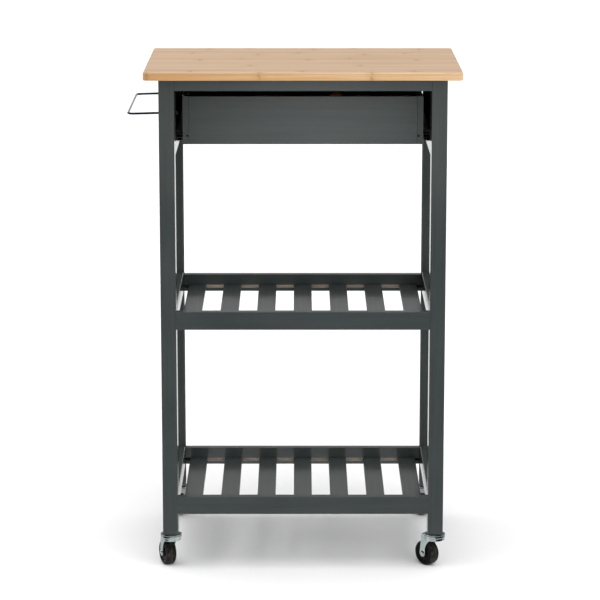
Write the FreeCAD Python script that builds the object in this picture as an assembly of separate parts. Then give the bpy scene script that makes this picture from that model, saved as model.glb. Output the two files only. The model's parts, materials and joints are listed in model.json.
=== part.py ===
import FreeCAD, Part
import math
import os

# Kitchen island cart: a bamboo worktop on a lacquered wooden frame with two slatted
# shelves, one drawer on ball-bearing slides, a wire towel rail and four swivel casters.
# Units are millimetres. The floor is Z = 0. The drawer opens towards +Y, which is called
# the front, and the towel rail is on the -X side, which is called the left.
# Everything is drawn about the middle of the cart, then moved by CART_X and CART_Y,
# so that the origin is on the floor under the middle of the whole cart's bounding box.

Vector = FreeCAD.Vector
X_AXIS = Vector(1, 0, 0)
Y_AXIS = Vector(0, 1, 0)
Z_AXIS = Vector(0, 0, 1)
ORIGIN = Vector(0, 0, 0)

SIDES = {"left": -1, "right": 1}
ENDS = {"back": -1, "front": 1}

# Overall size
OVERALL_HEIGHT = 892.0
WORKTOP_WIDTH = 550.0
WORKTOP_DEPTH = 370.0
WORKTOP_THICKNESS = 14.0
WORKTOP_CORNER_RADIUS = 6.0
WORKTOP_EDGE_RADIUS = 2.0
FRAME_WIDTH = 498.0
FRAME_DEPTH = 348.0
MOUNT_HEIGHT = 65.0

# Wooden frame
LEG_WIDTH = 27.0
LEG_DEPTH = 38.0
LEG_EDGE_RADIUS = 1.2
BOARD = 15.0
BOARD_EDGE_RADIUS = 0.8
TOP_RAIL_HEIGHT = 19.0
APRON_HEIGHT = 136.0

# Shelves: the height of each shelf is that of the underside of its long rails
SHELF_BOTTOMS = {"middle": 438.4, "lower": 102.7}
SHELF_RAIL_HEIGHT = 32.0
SIDE_RAIL_RISE = 5.4
SIDE_RAIL_HEIGHT = 35.0
SIDE_RAIL_THICKNESS = 20.0
SLAT_COUNT = 7
SLAT_PITCH = 65.6
SLAT_WIDTH = 33.0
SLAT_THICKNESS = 5.4
SLAT_EDGE_RADIUS = 1.0
SLAT_RISE = 6.5
GROOVE_DEPTH = 8.0
GROOVE_CLEARANCE = 0.2
SLAT_END_GAP = 0.5

# Joinery
DRILL_CLEARANCE = 0.05
DOWEL_RADIUS = 4.0
DOWEL_LENGTH = 30.0
APRON_DOWEL_SPREAD = 34.0
SIDE_RAIL_DOWEL_SPREAD = 8.5
PEG_RADIUS = 3.0
PEG_LENGTH = 30.0
PEG_RISE = 15.6
GLUE_GAP = 0.3
BOLT_RADIUS = 3.0
BOLT_LENGTH = 60.0
BOLT_HEAD_RADIUS = 5.0
BOLT_HEAD_HEIGHT = 4.0
BOLT_HEAD_SINK = 4.4
BOLT_HEAD_CLEARANCE = 0.5
BOLT_HOLE_SPARE = 1.0
BOLT_SOCKET_DEPTH = 2.4
BOLT_SOCKET = 4.0
BOLT_RISE = 23.6
BARREL_RADIUS = 5.0
BARREL_LENGTH = 12.0
BARREL_INSET = 30.0
WORKTOP_SCREW_X = 150.0
SCREW_POINT = 0.3
SCREW_RECESS_WIDTH = 0.8
SCREW_RECESS_SPAN = 1.1
SCREW_RECESS_DEPTH = 0.8
WORKTOP_SCREW = {"head": 4.2, "shank": 2.2, "length": 28.0}

# Drawer
DRAWER_HALF_WIDTH = 209.3
DRAWER_BOX_BOTTOM = 760.0
DRAWER_BOX_HEIGHT = 84.0
DRAWER_BOX_BACK = -129.0
DRAWER_WALL = 10.0
DRAWER_FRONT_BOTTOM = 722.5
DRAWER_FRONT_GAP = 2.0
DRAWER_PANEL = 3.0
DRAWER_PANEL_RISE = 13.4
PANEL_GROOVE_DEPTH = 4.0
PANEL_CLEARANCE = 0.15
DRAWER_PEG_HEIGHTS = (790.0, 830.0)
DRAWER_PEG_LENGTH = 22.0
DRAWER_PEG_IN_WALL = 6.0

# Handle
HANDLE_SPACING = 160.0
HANDLE_HEIGHT = 790.0
HANDLE_ROD_RADIUS = 4.0
HANDLE_REACH = 26.0
HANDLE_BEND = 13.0
HANDLE_POCKET_RADIUS = 5.0
HANDLE_POCKET_DEPTH = 3.0
HANDLE_SCREW_RADIUS = 2.0
HANDLE_SCREW_LENGTH = 22.0
HANDLE_SCREW_HEAD = (4.0, 2.4)
HANDLE_SCREW_ROUNDING = 1.0
HANDLE_THREAD_SPARE = 0.5

# Drawer slides, measured across from the apron's face and up from the slide's centre line
SLIDE_CENTRE = 774.5
SLIDE_LENGTH = 250.0
SLIDE_METAL = 1.2
SLIDE_LIP = 0.8
OUTER_HALF_HEIGHT = 8.5
OUTER_REACH = 10.0
INNER_HALF_HEIGHT = 3.75
INNER_START = 3.2
CAGE_METAL = 0.6
CAGE_START = 1.6
CAGE_REACH = 8.9
CAGE_LENGTH = 78.0
BALL_RADIUS = 1.72
BALL_ACROSS = 6.6
BALLS_PER_ROW = 5
BALL_PITCH = 15.5
SLIDE_SCREW = {"head": 2.8, "shank": 1.5}
SLIDE_SCREW_PLACES = (-110.0, -55.0, 110.0)
SCREW_TO_FACE = 2.0
SCREW_TO_GROOVE = 1.0
CAGE_BALL_CLEARANCE = 0.1

# Towel rail
TOWEL_WIRE_RADIUS = 2.0
TOWEL_ARM_HALF_SPACING = 130.0
TOWEL_HEIGHT = 815.5
TOWEL_REACH = 306.4
TOWEL_BEND = 11.0
TOWEL_DROOP_DEGREES = 1.5
TOWEL_THREAD = 5.0
TOWEL_NUT_FLATS = 7.0
TOWEL_NUT_HEIGHT = 3.2
TOWEL_COLLAR = (4.0, 1.2)

# Casters, drawn about the swivel axis with the wheel trailing towards +X.
# The resting angle of each is how far it has swivelled, counted from +X.
CASTER_REST_DEGREES = {
    "back_left": 113.0,
    "back_right": 132.0,
    "front_left": 97.0,
    "front_right": 118.0,
}
TRAIL = 19.0
WHEEL_RADIUS = 22.5
WHEEL_SEAM = 0.15
WHEEL_HALF_WIDTH = 9.5
WHEEL_SHOULDER = 3.5
HUB_HALF_WIDTH = 10.2
HUB_RADIUS = 8.0
RIM_INNER_RADIUS = 16.5
SIDE_DISH = 1.8
SIDE_DISH_SLOPE = 1.5
HUB_SLOPE = 1.0
SEAM_HALF_WIDTHS = (0.6, 0.35)
SEAM_ROOT = 1.0
AXLE_RADIUS = 3.0
AXLE_HEAD = (4.6, 2.0)
AXLE_DOME = ((0.88, 0.7), (0.55, 1.0))
RUNNING_CLEARANCE = 0.05
FORK_METAL = 1.6
FORK_INNER_HALF_WIDTH = 10.4
FORK_TIP_RADIUS = 6.5
FORK_ARM_START = -5.0
FORK_ARM_WAIST = (7.6, 42.6)
FORK_EMBED = 0.5
FORK_SKIRT_BOTTOM = 51.0
FORK_SKIRT_RADIUS = 17.8
FORK_HOOD_REACH = 21.5
FORK_HOOD_CORNER = 3.0
CROWN_RADIUS = 19.0
CROWN_BEAD = (55.4, 56.4)
CROWN_TOP = 60.0
CROWN_PLATE = (57.3, 59.3)
CROWN_ROUNDING = 0.6
CUP_BOTTOM = 60.3
CUP_SHOULDER = 62.2
CUP_TOP_RADIUS = 12.5
CUP_METAL = 1.6
SWIVEL_BALL_RADIUS = 2.0
SWIVEL_BALL_CIRCLE = 13.0
SWIVEL_BALL_COUNT = 14
SWIVEL_BALL_HEIGHT = 60.4
KINGPIN_RADIUS = 4.0
KINGPIN_HEAD = (7.0, 1.7)
KINGPIN_ROUNDING = 0.7
STEM_RADIUS = 4.0
STEM_LENGTH = 22.0
STEM_CHAMFER = 1.0
INSERT_RADIUS = 5.5
INSERT_LENGTH = 25.0

# How far a cutter starts outside the face that it cuts
OVERCUT = 1.0

# Worked-out places
LEG_TOP = OVERALL_HEIGHT - WORKTOP_THICKNESS
HALF_WIDTH = FRAME_WIDTH / 2
HALF_DEPTH = FRAME_DEPTH / 2
INNER_HALF_WIDTH = HALF_WIDTH - LEG_WIDTH
INNER_HALF_DEPTH = HALF_DEPTH - LEG_DEPTH
RAIL_INNER_Y = HALF_DEPTH - BOARD
RAIL_MID_Y = HALF_DEPTH - BOARD / 2
TOP_RAIL_BOTTOM = LEG_TOP - TOP_RAIL_HEIGHT
APRON_BOTTOM = LEG_TOP - APRON_HEIGHT
LEG_CENTRE_X = HALF_WIDTH - LEG_WIDTH / 2
LEG_CENTRE_Y = HALF_DEPTH - LEG_DEPTH / 2
DRAWER_BOX_TOP = DRAWER_BOX_BOTTOM + DRAWER_BOX_HEIGHT
DRAWER_FRONT_TOP = TOP_RAIL_BOTTOM - DRAWER_FRONT_GAP
DRAWER_INNER_HALF = DRAWER_HALF_WIDTH - DRAWER_WALL
PANEL_BOTTOM = DRAWER_BOX_BOTTOM + DRAWER_PANEL_RISE
SLIDE_GAP = INNER_HALF_WIDTH - DRAWER_HALF_WIDTH
BALL_UP = (OUTER_HALF_HEIGHT - SLIDE_METAL + INNER_HALF_HEIGHT) / 2
HANDLE_FACE = HALF_DEPTH + HANDLE_REACH + HANDLE_ROD_RADIUS

# Middle of the cart, seen from the middle of its bounding box
CART_X = (TOWEL_REACH - WORKTOP_WIDTH / 2) / 2
CART_Y = (WORKTOP_DEPTH / 2 - HANDLE_FACE) / 2


# ---- Helpers ----

def block(x_range, y_range, z_range):
    """A box between two X, two Y and two Z values, given in any order."""
    low = [min(pair) for pair in (x_range, y_range, z_range)]
    size = [abs(pair[1] - pair[0]) for pair in (x_range, y_range, z_range)]
    return Part.makeBox(*size, Vector(*low))


def rod(radius, start, end):
    """A round bar between two points."""
    along = end - start
    return Part.makeCylinder(radius, along.Length, start, along)


def eased(shape, radius, axis):
    """Rounds the straight edges that run along an axis."""
    edges = []
    for edge in shape.Edges:
        tangent = edge.tangentAt(edge.FirstParameter)
        if abs(tangent.dot(axis)) > 0.999:
            edges.append(edge)
    return shape.makeFillet(radius, edges)


def joined(shapes):
    """One solid from touching or overlapping shapes."""
    return shapes[0].fuse(shapes[1:]).removeSplitter()


def drilled(board, cutters):
    """Takes the cutters that reach a board out of it."""
    near = [tool for tool in cutters if tool.BoundBox.intersect(board.BoundBox)]
    return board.cut(near) if near else board


def turned(points):
    """A solid of revolution about Z from (radius, height) corners."""
    corners = [Vector(radius, 0, height) for radius, height in points]
    outline = Part.makePolygon(corners + corners[:1])
    return Part.Face(outline).revolve(ORIGIN, Z_AXIS, 360)


def rings_rounded(shape, ring_radius, radius):
    """Rounds the circular edges that a turned piece has at one distance from Z."""
    rings = []
    for edge in shape.Edges:
        if hasattr(edge.Curve, "Radius") and abs(edge.Curve.Radius - ring_radius) < 0.01:
            rings.append(edge)
    return shape.makeFillet(radius, rings)


def hexagon(across_flats, length):
    """A hexagonal prism standing on the origin."""
    radius = across_flats / math.sqrt(3)
    angles = [math.radians(60 * step) for step in range(7)]
    corners = [Vector(radius * math.cos(a), radius * math.sin(a), 0) for a in angles]
    return Part.Face(Part.makePolygon(corners)).extrude(Vector(0, 0, length))


def aimed(shape, position, direction):
    """Places a shape drawn along +Z so that it starts at a point and runs along a direction."""
    placed = shape.copy()
    turn = FreeCAD.Rotation(Z_AXIS, direction)
    placed.transformShape(FreeCAD.Placement(position, turn).toMatrix())
    return placed


def wood_screw(head, shank, length):
    """A countersunk screw drawn from its head at Z = 0 to its point, with a cross recess."""
    head_height = head - shank
    body = turned([
        (0, 0), (head, 0), (shank, head_height), (shank, length - 2 * shank),
        (SCREW_POINT, length), (0, length),
    ])
    long_way = (-head * SCREW_RECESS_SPAN / 2, head * SCREW_RECESS_SPAN / 2)
    short_way = (-SCREW_RECESS_WIDTH / 2, SCREW_RECESS_WIDTH / 2)
    depth = (0, head_height * SCREW_RECESS_DEPTH)
    return body.cut([block(long_way, short_way, depth), block(short_way, long_way, depth)])


def screw_hole(head, shank, length):
    """The countersunk hole that a wood screw fills."""
    head_height = head - shank
    gap = DRILL_CLEARANCE
    return turned([
        (0, 0), (head + gap, 0), (shank + gap, head_height),
        (shank + gap, length + gap), (0, length + gap),
    ])


def save(node, shape):
    """Moves a sub-part into the cart's frame and writes its file."""
    placed = shape.copy()
    placed.translate(Vector(CART_X, CART_Y, 0))
    placed.exportStep(f"parts/{node}.step")


# ---- Joinery of the frame: the pieces, and the holes that they sit in ----

def frame_dowels():
    """Dowels at the ends of the aprons and side rails, and pegs in the long shelf rails."""
    apron_x = INNER_HALF_WIDTH + BOARD / 2
    apron_middle = APRON_BOTTOM + APRON_HEIGHT / 2
    side_rail_x = INNER_HALF_WIDTH + SIDE_RAIL_THICKNESS / 2
    rows = [(apron_x, apron_middle, APRON_DOWEL_SPREAD)]
    for bottom in SHELF_BOTTOMS.values():
        rail_middle = bottom + SIDE_RAIL_RISE + SIDE_RAIL_HEIGHT / 2
        rows.append((side_rail_x, rail_middle, SIDE_RAIL_DOWEL_SPREAD))
    half = Vector(0, DOWEL_LENGTH / 2, 0)
    half_peg = Vector(PEG_LENGTH / 2, 0, 0)
    places = []
    for side in SIDES.values():
        for end in ENDS.values():
            for x, z, spread in rows:
                for up in (-spread, spread):
                    centre = Vector(side * x, end * INNER_HALF_DEPTH, z + up)
                    places.append((DOWEL_RADIUS, centre, half))
            for bottom in SHELF_BOTTOMS.values():
                centre = Vector(side * INNER_HALF_WIDTH, end * RAIL_MID_Y, bottom + PEG_RISE)
                places.append((PEG_RADIUS, centre, half_peg))
    dowels = [rod(radius, centre - half, centre + half) for radius, centre, half in places]
    gap = DRILL_CLEARANCE
    holes = []
    for radius, centre, half in places:
        reach = half * (1 + GLUE_GAP / half.Length)
        holes.append(rod(radius + gap, centre - reach, centre + reach))
    return dowels, holes


def frame_bolts():
    """Socket-head bolts through the legs into barrel nuts, set in the rails from below."""
    rails = [(bottom, bottom + BOLT_RISE) for bottom in SHELF_BOTTOMS.values()]
    rails.append((TOP_RAIL_BOTTOM, TOP_RAIL_BOTTOM + TOP_RAIL_HEIGHT / 2))
    head = Part.makeCylinder(BOLT_HEAD_RADIUS, BOLT_HEAD_HEIGHT)
    shank = Part.makeCylinder(BOLT_RADIUS, BOLT_HEAD_HEIGHT + BOLT_LENGTH)
    bolt = joined([head, shank]).cut(hexagon(BOLT_SOCKET, BOLT_SOCKET_DEPTH))
    gap = DRILL_CLEARANCE
    bolt_hole = joined([
        Part.makeCylinder(BOLT_HEAD_RADIUS + BOLT_HEAD_CLEARANCE, BOLT_HEAD_SINK),
        Part.makeCylinder(BOLT_RADIUS + gap, BOLT_HEAD_SINK + BOLT_LENGTH + BOLT_HOLE_SPARE),
    ])
    half_barrel = Z_AXIS * (BARREL_LENGTH / 2)
    head_sink = BOLT_HEAD_SINK - BOLT_HEAD_HEIGHT
    bolts, nuts, holes = [], [], []
    for side in SIDES.values():
        inward = Vector(-side, 0, 0)
        nut_x = side * (INNER_HALF_WIDTH - BARREL_INSET)
        for end in ENDS.values():
            y = end * RAIL_MID_Y
            for underside, z in rails:
                face = Vector(side * HALF_WIDTH, y, z)
                hole = aimed(bolt_hole, face, inward)
                bolts.append(aimed(bolt, face + inward * head_sink, inward))
                middle = Vector(nut_x, y, z)
                top = middle + half_barrel
                nuts.append(rod(BARREL_RADIUS, middle - half_barrel, top).cut(hole))
                holes.append(hole)
                mouth = Vector(nut_x, y, underside)
                holes.append(rod(BARREL_RADIUS + gap, mouth, top + Z_AXIS * gap))
    return bolts, nuts, holes


def worktop_screws():
    """Screws up through the top rails into the worktop."""
    screws, holes = [], []
    for end in ENDS.values():
        for side in SIDES.values():
            foot = Vector(side * WORKTOP_SCREW_X, end * RAIL_MID_Y, TOP_RAIL_BOTTOM)
            screws.append(aimed(wood_screw(**WORKTOP_SCREW), foot, Z_AXIS))
            holes.append(aimed(screw_hole(**WORKTOP_SCREW), foot, Z_AXIS))
    return screws, holes


def caster_inserts():
    """Threaded sleeves in the foot of each leg, which take the caster stems."""
    sleeve = turned([
        (STEM_RADIUS + DRILL_CLEARANCE, 0), (INSERT_RADIUS, 0),
        (INSERT_RADIUS, INSERT_LENGTH), (STEM_RADIUS + DRILL_CLEARANCE, INSERT_LENGTH),
    ])
    hole = Part.makeCylinder(INSERT_RADIUS + DRILL_CLEARANCE, INSERT_LENGTH + OVERCUT)
    inserts, holes = [], []
    for side in SIDES.values():
        for end in ENDS.values():
            foot = Vector(side * LEG_CENTRE_X, end * LEG_CENTRE_Y, MOUNT_HEIGHT)
            inserts.append(aimed(sleeve, foot, Z_AXIS))
            holes.append(aimed(hole, foot, Z_AXIS))
    return inserts, holes


# ---- Wooden frame ----

def worktop():
    """Bamboo board with rounded corners and eased edges."""
    board = block(
        (-WORKTOP_WIDTH / 2, WORKTOP_WIDTH / 2),
        (-WORKTOP_DEPTH / 2, WORKTOP_DEPTH / 2),
        (LEG_TOP, OVERALL_HEIGHT),
    )
    board = eased(board, WORKTOP_CORNER_RADIUS, Z_AXIS)
    rims = []
    for edge in board.Edges:
        heights = {round(vertex.Z, 3) for vertex in edge.Vertexes}
        if len(heights) == 1:
            rims.append(edge)
    return board.makeFillet(WORKTOP_EDGE_RADIUS, rims)


def leg(side, end):
    """One square-cut leg, with its long edges eased."""
    post = block(
        (side * INNER_HALF_WIDTH, side * HALF_WIDTH),
        (end * INNER_HALF_DEPTH, end * HALF_DEPTH),
        (MOUNT_HEIGHT, LEG_TOP),
    )
    return eased(post, LEG_EDGE_RADIUS, Z_AXIS)


def top_rail(end):
    """Thin rail under the worktop, above the drawer."""
    rail = block(
        (-INNER_HALF_WIDTH, INNER_HALF_WIDTH),
        (end * RAIL_INNER_Y, end * HALF_DEPTH),
        (TOP_RAIL_BOTTOM, LEG_TOP),
    )
    return eased(rail, BOARD_EDGE_RADIUS, X_AXIS)


def apron(side):
    """Side board beside the drawer. It carries the fixed half of a slide."""
    board = block(
        (side * INNER_HALF_WIDTH, side * (INNER_HALF_WIDTH + BOARD)),
        (-INNER_HALF_DEPTH, INNER_HALF_DEPTH),
        (APRON_BOTTOM, LEG_TOP),
    )
    return eased(board, BOARD_EDGE_RADIUS, Y_AXIS)


def shelf_rail(end, bottom):
    """Long shelf rail with a groove that takes the ends of the slats."""
    rail = block(
        (-INNER_HALF_WIDTH, INNER_HALF_WIDTH),
        (end * RAIL_INNER_Y, end * HALF_DEPTH),
        (bottom, bottom + SHELF_RAIL_HEIGHT),
    )
    rail = eased(rail, BOARD_EDGE_RADIUS, X_AXIS)
    groove = block(
        (-INNER_HALF_WIDTH, INNER_HALF_WIDTH),
        (end * (RAIL_INNER_Y - OVERCUT), end * (RAIL_INNER_Y + GROOVE_DEPTH)),
        (bottom + SLAT_RISE, bottom + SLAT_RISE + SLAT_THICKNESS + GROOVE_CLEARANCE),
    )
    return rail.cut(groove)


def side_rail(side, bottom):
    """Short shelf rail between a front and a back leg."""
    rail = block(
        (side * INNER_HALF_WIDTH, side * (INNER_HALF_WIDTH + SIDE_RAIL_THICKNESS)),
        (-INNER_HALF_DEPTH, INNER_HALF_DEPTH),
        (bottom + SIDE_RAIL_RISE, bottom + SIDE_RAIL_RISE + SIDE_RAIL_HEIGHT),
    )
    return eased(rail, BOARD_EDGE_RADIUS, Y_AXIS)


def slats(bottom):
    """The row of slats of one shelf."""
    half_length = RAIL_INNER_Y + GROOVE_DEPTH - SLAT_END_GAP
    row = []
    for index in range(SLAT_COUNT):
        centre = (index - (SLAT_COUNT - 1) / 2) * SLAT_PITCH
        slat = block(
            (centre - SLAT_WIDTH / 2, centre + SLAT_WIDTH / 2),
            (-half_length, half_length),
            (bottom + SLAT_RISE, bottom + SLAT_RISE + SLAT_THICKNESS),
        )
        row.append(eased(slat, SLAT_EDGE_RADIUS, Y_AXIS))
    return row


# ---- Towel rail ----

def towel_loop():
    """The U of wire outside the cart, drawn level from the apron's outer face."""
    start_x = -(INNER_HALF_WIDTH + BOARD)
    end_x = -(TOWEL_REACH - TOWEL_WIRE_RADIUS)
    half = TOWEL_ARM_HALF_SPACING
    bend = TOWEL_BEND
    middle = bend * (1 - math.sqrt(0.5))

    def at(x, y):
        return Vector(x, y, TOWEL_HEIGHT)

    path = Part.Wire([
        Part.makeLine(at(start_x, -half), at(end_x + bend, -half)),
        Part.Arc(at(end_x + bend, -half), at(end_x + middle, -half + middle),
                 at(end_x, -half + bend)).toShape(),
        Part.makeLine(at(end_x, -half + bend), at(end_x, half - bend)),
        Part.Arc(at(end_x, half - bend), at(end_x + middle, half - middle),
                 at(end_x + bend, half)).toShape(),
        Part.makeLine(at(end_x + bend, half), at(start_x, half)),
    ])
    section = Part.Wire(Part.makeCircle(TOWEL_WIRE_RADIUS, at(start_x, -half), X_AXIS))
    return path.makePipeShell([section], True, True)


def towel_rail():
    """Wire towel rail: a drooping loop, a collar at each arm and threaded ends in the apron."""
    face_x = -(INNER_HALF_WIDTH + BOARD)
    loop = towel_loop()
    loop.rotate(Vector(face_x, 0, TOWEL_HEIGHT), Y_AXIS, -TOWEL_DROOP_DEGREES)
    collar_radius, collar_width = TOWEL_COLLAR
    pieces = [loop]
    for end in ENDS.values():
        y = end * TOWEL_ARM_HALF_SPACING
        face = Vector(face_x, y, TOWEL_HEIGHT)
        tip = Vector(-(INNER_HALF_WIDTH - TOWEL_THREAD), y, TOWEL_HEIGHT)
        pieces.append(rod(TOWEL_WIRE_RADIUS, face, tip))
        pieces.append(rod(collar_radius, face - X_AXIS * collar_width, face))
    return joined(pieces)


def towel_rail_nuts():
    """A hexagon nut on each threaded end, inside the apron."""
    bore = Part.makeCylinder(TOWEL_WIRE_RADIUS + DRILL_CLEARANCE, TOWEL_NUT_HEIGHT)
    nut = hexagon(TOWEL_NUT_FLATS, TOWEL_NUT_HEIGHT).cut(bore)
    nuts = []
    for end in ENDS.values():
        seat = Vector(-INNER_HALF_WIDTH, end * TOWEL_ARM_HALF_SPACING, TOWEL_HEIGHT)
        nuts.append(aimed(nut, seat, X_AXIS))
    return nuts


def towel_rail_holes():
    """Holes through the left apron for the towel rail's arms."""
    holes = []
    for end in ENDS.values():
        y = end * TOWEL_ARM_HALF_SPACING
        outer = Vector(-(INNER_HALF_WIDTH + BOARD + OVERCUT), y, TOWEL_HEIGHT)
        inner = Vector(-(INNER_HALF_WIDTH - OVERCUT), y, TOWEL_HEIGHT)
        holes.append(rod(TOWEL_WIRE_RADIUS + DRILL_CLEARANCE, outer, inner))
    return holes


# ---- Drawer slides ----

def slide_block(side, across, up, half_length=SLIDE_LENGTH / 2):
    """A strip along Y, placed across from the apron's face and up from the centre line."""
    x_range = [side * (INNER_HALF_WIDTH - distance) for distance in across]
    z_range = [SLIDE_CENTRE + height for height in up]
    return block(x_range, (-half_length, half_length), z_range)


def slide_screws(side, across, direction, length):
    """Screws and their holes in a row along a slide member."""
    x = side * (INNER_HALF_WIDTH - across)
    screws, holes = [], []
    for y in SLIDE_SCREW_PLACES:
        seat = Vector(x, y, SLIDE_CENTRE)
        screws.append(aimed(wood_screw(length=length, **SLIDE_SCREW), seat, direction))
        holes.append(aimed(screw_hole(length=length, **SLIDE_SCREW), seat, direction))
    return screws, holes


def slide_outer(side):
    """Fixed member: a channel whose lips keep the balls in."""
    top = OUTER_HALF_HEIGHT
    inner_top = top - SLIDE_METAL
    strips = [slide_block(side, (0, SLIDE_METAL), (-top, top))]
    for way in (-1, 1):
        flange = (way * inner_top, way * top)
        lip = (way * (inner_top - SLIDE_LIP), way * inner_top)
        strips.append(slide_block(side, (0, OUTER_REACH), flange))
        strips.append(slide_block(side, (OUTER_REACH - SLIDE_LIP, OUTER_REACH), lip))
    return joined(strips)


def slide_inner(side):
    """Moving member: a smaller channel screwed to the drawer's side."""
    top = INNER_HALF_HEIGHT
    web = (SLIDE_GAP - SLIDE_METAL, SLIDE_GAP)
    strips = [slide_block(side, web, (-top, top))]
    for way in (-1, 1):
        flange = (way * (top - SLIDE_METAL), way * top)
        lip = (way * top, way * (top + SLIDE_LIP))
        strips.append(slide_block(side, (INNER_START, SLIDE_GAP), flange))
        strips.append(slide_block(side, (INNER_START, INNER_START + SLIDE_LIP), lip))
    return joined(strips)


def ball_centres(side):
    """Centres of the balls in the two rows of one slide."""
    x = side * (INNER_HALF_WIDTH - BALL_ACROSS)
    centres = []
    for way in (-1, 1):
        for index in range(BALLS_PER_ROW):
            y = (index - (BALLS_PER_ROW - 1) / 2) * BALL_PITCH
            centres.append(Vector(x, y, SLIDE_CENTRE + way * BALL_UP))
    return centres


def slide_cage(side):
    """Bent strip that spaces the balls."""
    half = CAGE_LENGTH / 2
    thick = CAGE_METAL / 2
    web = (CAGE_START, CAGE_START + CAGE_METAL)
    strips = [slide_block(side, web, (-BALL_UP - thick, BALL_UP + thick), half)]
    for way in (-1, 1):
        flange = (way * BALL_UP - thick, way * BALL_UP + thick)
        strips.append(slide_block(side, (CAGE_START, CAGE_REACH), flange, half))
    window = BALL_RADIUS + CAGE_BALL_CLEARANCE
    return joined(strips).cut([Part.makeSphere(window, centre) for centre in ball_centres(side)])


# ---- Drawer ----

def drawer_front():
    """Inset front with a groove for the bottom and a sunk pocket behind each handle screw."""
    inner = HALF_DEPTH - BOARD
    width = INNER_HALF_WIDTH - DRAWER_FRONT_GAP
    board = block((-width, width), (inner, HALF_DEPTH), (DRAWER_FRONT_BOTTOM, DRAWER_FRONT_TOP))
    board = eased(board, BOARD_EDGE_RADIUS, X_AXIS)
    groove_half = DRAWER_INNER_HALF + PANEL_GROOVE_DEPTH
    groove_y = (inner - OVERCUT, inner + PANEL_GROOVE_DEPTH)
    cutters = [panel_groove((-groove_half, groove_half), groove_y)]
    for side in SIDES.values():
        pocket = Vector(side * HANDLE_SPACING / 2, inner, HANDLE_HEIGHT)
        through = Vector(side * HANDLE_SPACING / 2, HALF_DEPTH + OVERCUT, HANDLE_HEIGHT)
        cutters.append(rod(HANDLE_POCKET_RADIUS, pocket, pocket + Y_AXIS * HANDLE_POCKET_DEPTH))
        cutters.append(rod(HANDLE_SCREW_RADIUS + DRILL_CLEARANCE, pocket, through))
    return board.cut(cutters)


def panel_groove(x_range, y_range):
    """The slot that an edge of the drawer's bottom slides into."""
    low = PANEL_BOTTOM - PANEL_CLEARANCE
    high = PANEL_BOTTOM + DRAWER_PANEL + PANEL_CLEARANCE
    return block(x_range, y_range, (low, high))


def drawer_side(side):
    """Drawer side, grooved along its inner face. Its end shows beside the back."""
    inner = DRAWER_INNER_HALF
    y_range = (DRAWER_BOX_BACK, HALF_DEPTH - BOARD)
    board = block(
        (side * inner, side * DRAWER_HALF_WIDTH), y_range, (DRAWER_BOX_BOTTOM, DRAWER_BOX_TOP)
    )
    board = eased(board, BOARD_EDGE_RADIUS, Y_AXIS)
    groove = (side * (inner - OVERCUT), side * (inner + PANEL_GROOVE_DEPTH))
    return board.cut(panel_groove(groove, y_range))


def drawer_back():
    """Back board, held between the two sides."""
    inner_y = DRAWER_BOX_BACK + DRAWER_WALL
    x_range = (-DRAWER_INNER_HALF, DRAWER_INNER_HALF)
    board = block(x_range, (DRAWER_BOX_BACK, inner_y), (DRAWER_BOX_BOTTOM, DRAWER_BOX_TOP))
    board = eased(eased(board, BOARD_EDGE_RADIUS, X_AXIS), BOARD_EDGE_RADIUS, Z_AXIS)
    groove_y = (inner_y - PANEL_GROOVE_DEPTH, inner_y + OVERCUT)
    return board.cut(panel_groove(x_range, groove_y))


def drawer_bottom():
    """Thin bottom panel, held in the grooves on all four sides."""
    reach = PANEL_GROOVE_DEPTH - 2 * PANEL_CLEARANCE
    half = DRAWER_INNER_HALF + reach
    return block(
        (-half, half),
        (DRAWER_BOX_BACK + DRAWER_WALL - reach, HALF_DEPTH - BOARD + reach),
        (PANEL_BOTTOM, PANEL_BOTTOM + DRAWER_PANEL),
    )


def drawer_pegs():
    """Wooden pegs that join the drawer's sides to its front and back."""
    inner_y = HALF_DEPTH - BOARD
    back_y = DRAWER_BOX_BACK + DRAWER_WALL / 2
    wall_x = DRAWER_INNER_HALF + DRAWER_WALL / 2
    half_peg = DRAWER_PEG_LENGTH / 2
    pegs, holes = [], []
    for side in SIDES.values():
        for z in DRAWER_PEG_HEIGHTS:
            deep = side * (DRAWER_INNER_HALF + DRAWER_PEG_IN_WALL)
            spans = [
                (Vector(side * wall_x, inner_y - half_peg, z),
                 Vector(side * wall_x, inner_y + half_peg, z)),
                (Vector(deep - side * DRAWER_PEG_LENGTH, back_y, z), Vector(deep, back_y, z)),
            ]
            for start, end in spans:
                spare = (end - start).normalize() * GLUE_GAP
                pegs.append(rod(PEG_RADIUS, start, end))
                holes.append(rod(PEG_RADIUS + DRILL_CLEARANCE, start - spare, end + spare))
    return pegs, holes


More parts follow.
